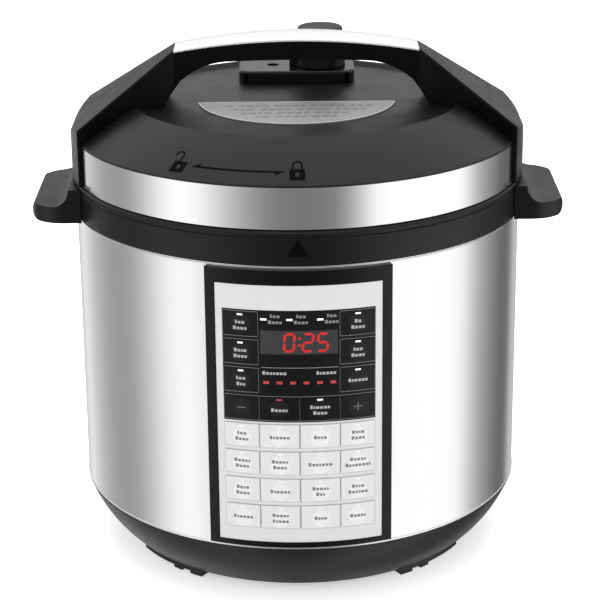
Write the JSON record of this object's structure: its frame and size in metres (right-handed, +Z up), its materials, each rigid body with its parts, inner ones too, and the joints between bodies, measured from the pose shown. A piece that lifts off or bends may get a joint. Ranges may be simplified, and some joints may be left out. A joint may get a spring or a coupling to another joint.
{
  "type": "electric pressure cooker",
  "caption": "Round electric pressure cooker with brushed steel body, black base, arched lid handle, side grips and a flat front panel of keys with a red digital display.",
  "frame": {"origin": "centre of the circle the feet stand on, at the level of the standing surface", "axes": "+Z up along the pot's axis, -Y towards the control panel, +X towards the right-hand side grip seen from the front"},
  "size_m": [0.332, 0.3039, 0.3254],
  "materials": {
    "shell_steel": "satin brushed sheet",
    "band_steel": "polished with fine round brushing",
    "pot_steel": "spun and pressed steel",
    "heater_alloy": "cast and turned",
    "screw_steel": "bright steel",
    "black_plastic": "fine satin grain",
    "handle_black": "satin",
    "housing_black": "glossy",
    "trim_silver": "smooth silver lacquer",
    "plate_silver": "brushed thin plate",
    "bezel_black": "semi-gloss moulded",
    "overlay_film": "satin printed film",
    "key_silver": "satin printed film",
    "key_black": "satin printed film",
    "display_black": "smoked clear lens",
    "module_black": "moulded",
    "board_green": "lacquered circuit board",
    "socket_black": "moulded",
    "foot_rubber": "moulded rubber",
    "silicone": "translucent moulded silicone",
    "clear_plastic": "clear moulded"
  },
  "bodies": {
    "base": {"outer_shell": "shell_steel", "base_tray": "black_plastic", "foot_pads": "foot_rubber", "top_collar": "black_plastic", "side_handles": "black_plastic", "locking_pot": "pot_steel", "heater_plate": "heater_alloy", "panel_bezel": "bezel_black", "panel_overlay": "overlay_film", "display_window": "display_black", "led_display": "module_black", "control_board": "board_green", "power_board": "board_green", "power_socket": "socket_black", "base_screws": "screw_steel", "sensor_spring": "screw_steel"},
    "sensor": {"sensor_cap": "heater_alloy"},
    "inner_pot": {"inner_pot": "pot_steel"},
    "cup": {"condensation_cup": "clear_plastic"},
    "seal": {"sealing_ring": "silicone"},
    "lid": {"pressure_lid": "pot_steel", "lid_band": "band_steel", "ring_rack": "screw_steel", "lid_cover": "black_plastic", "lid_handle": "handle_black", "handle_trim": "trim_silver", "caution_plate": "plate_silver", "valve_housing": "housing_black", "steam_pipe": "screw_steel", "lid_screws": "screw_steel"},
    "steam_knob": {"steam_knob": "black_plastic"},
    "float": {"float_pin": "screw_steel", "float_seal": "silicone"},
    "shield": {"anti_block_shield": "screw_steel"},
    "key_cancel": {"key_cancel": "key_black"},
    "key_delay": {"key_delay": "key_black"},
    "key_time": {"key_time": "key_black"},
    "key_start": {"key_start": "key_black"},
    "key_warm": {"key_warm": "key_black"},
    "key_manual": {"key_manual": "key_black"},
    "key_minus": {"key_minus": "key_black"},
    "key_adjust": {"key_adjust": "key_black"},
    "key_pressure": {"key_pressure": "key_black"},
    "key_plus": {"key_plus": "key_black"},
    "key_program_13": {"key_program_13": "key_silver"},
    "key_program_14": {"key_program_14": "key_silver"},
    "key_program_15": {"key_program_15": "key_silver"},
    "key_program_16": {"key_program_16": "key_silver"},
    "key_program_9": {"key_program_9": "key_silver"},
    "key_program_10": {"key_program_10": "key_silver"},
    "key_program_11": {"key_program_11": "key_silver"},
    "key_program_12": {"key_program_12": "key_silver"},
    "key_program_5": {"key_program_5": "key_silver"},
    "key_program_6": {"key_program_6": "key_silver"},
    "key_program_7": {"key_program_7": "key_silver"},
    "key_program_8": {"key_program_8": "key_silver"},
    "key_program_1": {"key_program_1": "key_silver"},
    "key_program_2": {"key_program_2": "key_silver"},
    "key_program_3": {"key_program_3": "key_silver"},
    "key_program_4": {"key_program_4": "key_silver"}
  },
  "joints": [
    {"name": "cup_pull", "type": "slide", "parent": "base", "child": "cup", "axis": [0, 1, 0], "range_m": [0, 0.026]},
    {"name": "float_rise", "type": "slide", "parent": "lid", "child": "float", "axis": [0, 0, 1], "range_m": [0, 0.005]},
    {"name": "knob_turn", "type": "hinge", "parent": "lid", "child": "steam_knob", "pos_m": [0.0154, 0.06, 0.3], "axis": [0, 0, 1], "range_deg": [0, 45]},
    {"name": "lid_lift", "type": "slide", "parent": "inner_pot", "child": "seal", "axis": [0, 0, 1], "range_m": [0, 0.12]},
    {"name": "lid_turn", "type": "hinge", "parent": "seal", "child": "lid", "pos_m": [0, 0, 0.24], "axis": [0, 0, 1], "range_deg": [0, 30]},
    {"name": "pot_lift", "type": "slide", "parent": "base", "child": "inner_pot", "axis": [0, 0, 1], "range_m": [0, 0.17]},
    {"name": "sensor_press", "type": "slide", "parent": "base", "child": "sensor", "axis": [0, 0, 1], "range_m": [-0.002, 0], "stiffness_N_per_m": 1000, "springref_m": 0.001, "deforming": ["sensor_spring"]},
    {"name": "shield_pull", "type": "slide", "parent": "lid", "child": "shield", "axis": [0, 0, -1], "range_m": [0, 0.015]},
    {"name": "tap_key_cancel", "type": "slide", "parent": "base", "child": "key_cancel", "axis": [0.2422, 0.9702, 0], "range_m": [0, 0.0004], "stiffness_N_per_m": 5000},
    {"name": "tap_key_delay", "type": "slide", "parent": "base", "child": "key_delay", "axis": [0.2422, 0.9702, 0], "range_m": [0, 0.0004], "stiffness_N_per_m": 5000},
    {"name": "tap_key_time", "type": "slide", "parent": "base", "child": "key_time", "axis": [0.2422, 0.9702, 0], "range_m": [0, 0.0004], "stiffness_N_per_m": 5000},
    {"name": "tap_key_start", "type": "slide", "parent": "base", "child": "key_start", "axis": [-0.2422, 0.9702, 0], "range_m": [0, 0.0004], "stiffness_N_per_m": 5000},
    {"name": "tap_key_warm", "type": "slide", "parent": "base", "child": "key_warm", "axis": [-0.2422, 0.9702, 0], "range_m": [0, 0.0004], "stiffness_N_per_m": 5000},
    {"name": "tap_key_manual", "type": "slide", "parent": "base", "child": "key_manual", "axis": [-0.2422, 0.9702, 0], "range_m": [0, 0.0004], "stiffness_N_per_m": 5000},
    {"name": "tap_key_minus", "type": "slide", "parent": "base", "child": "key_minus", "axis": [0.2422, 0.9702, 0], "range_m": [0, 0.0004], "stiffness_N_per_m": 5000},
    {"name": "tap_key_adjust", "type": "slide", "parent": "base", "child": "key_adjust", "axis": [0.0845, 0.9964, 0], "range_m": [0, 0.0004], "stiffness_N_per_m": 5000},
    {"name": "tap_key_pressure", "type": "slide", "parent": "base", "child": "key_pressure", "axis": [-0.0845, 0.9964, 0], "range_m": [0, 0.0004], "stiffness_N_per_m": 5000},
    {"name": "tap_key_plus", "type": "slide", "parent": "base", "child": "key_plus", "axis": [-0.2422, 0.9702, 0], "range_m": [0, 0.0004], "stiffness_N_per_m": 5000},
    {"name": "tap_key_program_13", "type": "slide", "parent": "base", "child": "key_program_13", "axis": [0.2422, 0.9702, 0], "range_m": [0, 0.0004], "stiffness_N_per_m": 5000},
    {"name": "tap_key_program_14", "type": "slide", "parent": "base", "child": "key_program_14", "axis": [0.0845, 0.9964, 0], "range_m": [0, 0.0004], "stiffness_N_per_m": 5000},
    {"name": "tap_key_program_15", "type": "slide", "parent": "base", "child": "key_program_15", "axis": [-0.0845, 0.9964, 0], "range_m": [0, 0.0004], "stiffness_N_per_m": 5000},
    {"name": "tap_key_program_16", "type": "slide", "parent": "base", "child": "key_program_16", "axis": [-0.2422, 0.9702, 0], "range_m": [0, 0.0004], "stiffness_N_per_m": 5000},
    {"name": "tap_key_program_9", "type": "slide", "parent": "base", "child": "key_program_9", "axis": [0.2422, 0.9702, 0], "range_m": [0, 0.0004], "stiffness_N_per_m": 5000},
    {"name": "tap_key_program_10", "type": "slide", "parent": "base", "child": "key_program_10", "axis": [0.0845, 0.9964, 0], "range_m": [0, 0.0004], "stiffness_N_per_m": 5000},
    {"name": "tap_key_program_11", "type": "slide", "parent": "base", "child": "key_program_11", "axis": [-0.0845, 0.9964, 0], "range_m": [0, 0.0004], "stiffness_N_per_m": 5000},
    {"name": "tap_key_program_12", "type": "slide", "parent": "base", "child": "key_program_12", "axis": [-0.2422, 0.9702, 0], "range_m": [0, 0.0004], "stiffness_N_per_m": 5000},
    {"name": "tap_key_program_5", "type": "slide", "parent": "base", "child": "key_program_5", "axis": [0.2422, 0.9702, 0], "range_m": [0, 0.0004], "stiffness_N_per_m": 5000},
    {"name": "tap_key_program_6", "type": "slide", "parent": "base", "child": "key_program_6", "axis": [0.0845, 0.9964, 0], "range_m": [0, 0.0004], "stiffness_N_per_m": 5000},
    {"name": "tap_key_program_7", "type": "slide", "parent": "base", "child": "key_program_7", "axis": [-0.0845, 0.9964, 0], "range_m": [0, 0.0004], "stiffness_N_per_m": 5000},
    {"name": "tap_key_program_8", "type": "slide", "parent": "base", "child": "key_program_8", "axis": [-0.2422, 0.9702, 0], "range_m": [0, 0.0004], "stiffness_N_per_m": 5000},
    {"name": "tap_key_program_1", "type": "slide", "parent": "base", "child": "key_program_1", "axis": [0.2422, 0.9702, 0], "range_m": [0, 0.0004], "stiffness_N_per_m": 5000},
    {"name": "tap_key_program_2", "type": "slide", "parent": "base", "child": "key_program_2", "axis": [0.0845, 0.9964, 0], "range_m": [0, 0.0004], "stiffness_N_per_m": 5000},
    {"name": "tap_key_program_3", "type": "slide", "parent": "base", "child": "key_program_3", "axis": [-0.0845, 0.9964, 0], "range_m": [0, 0.0004], "stiffness_N_per_m": 5000},
    {"name": "tap_key_program_4", "type": "slide", "parent": "base", "child": "key_program_4", "axis": [-0.2422, 0.9702, 0], "range_m": [0, 0.0004], "stiffness_N_per_m": 5000}
  ]
}
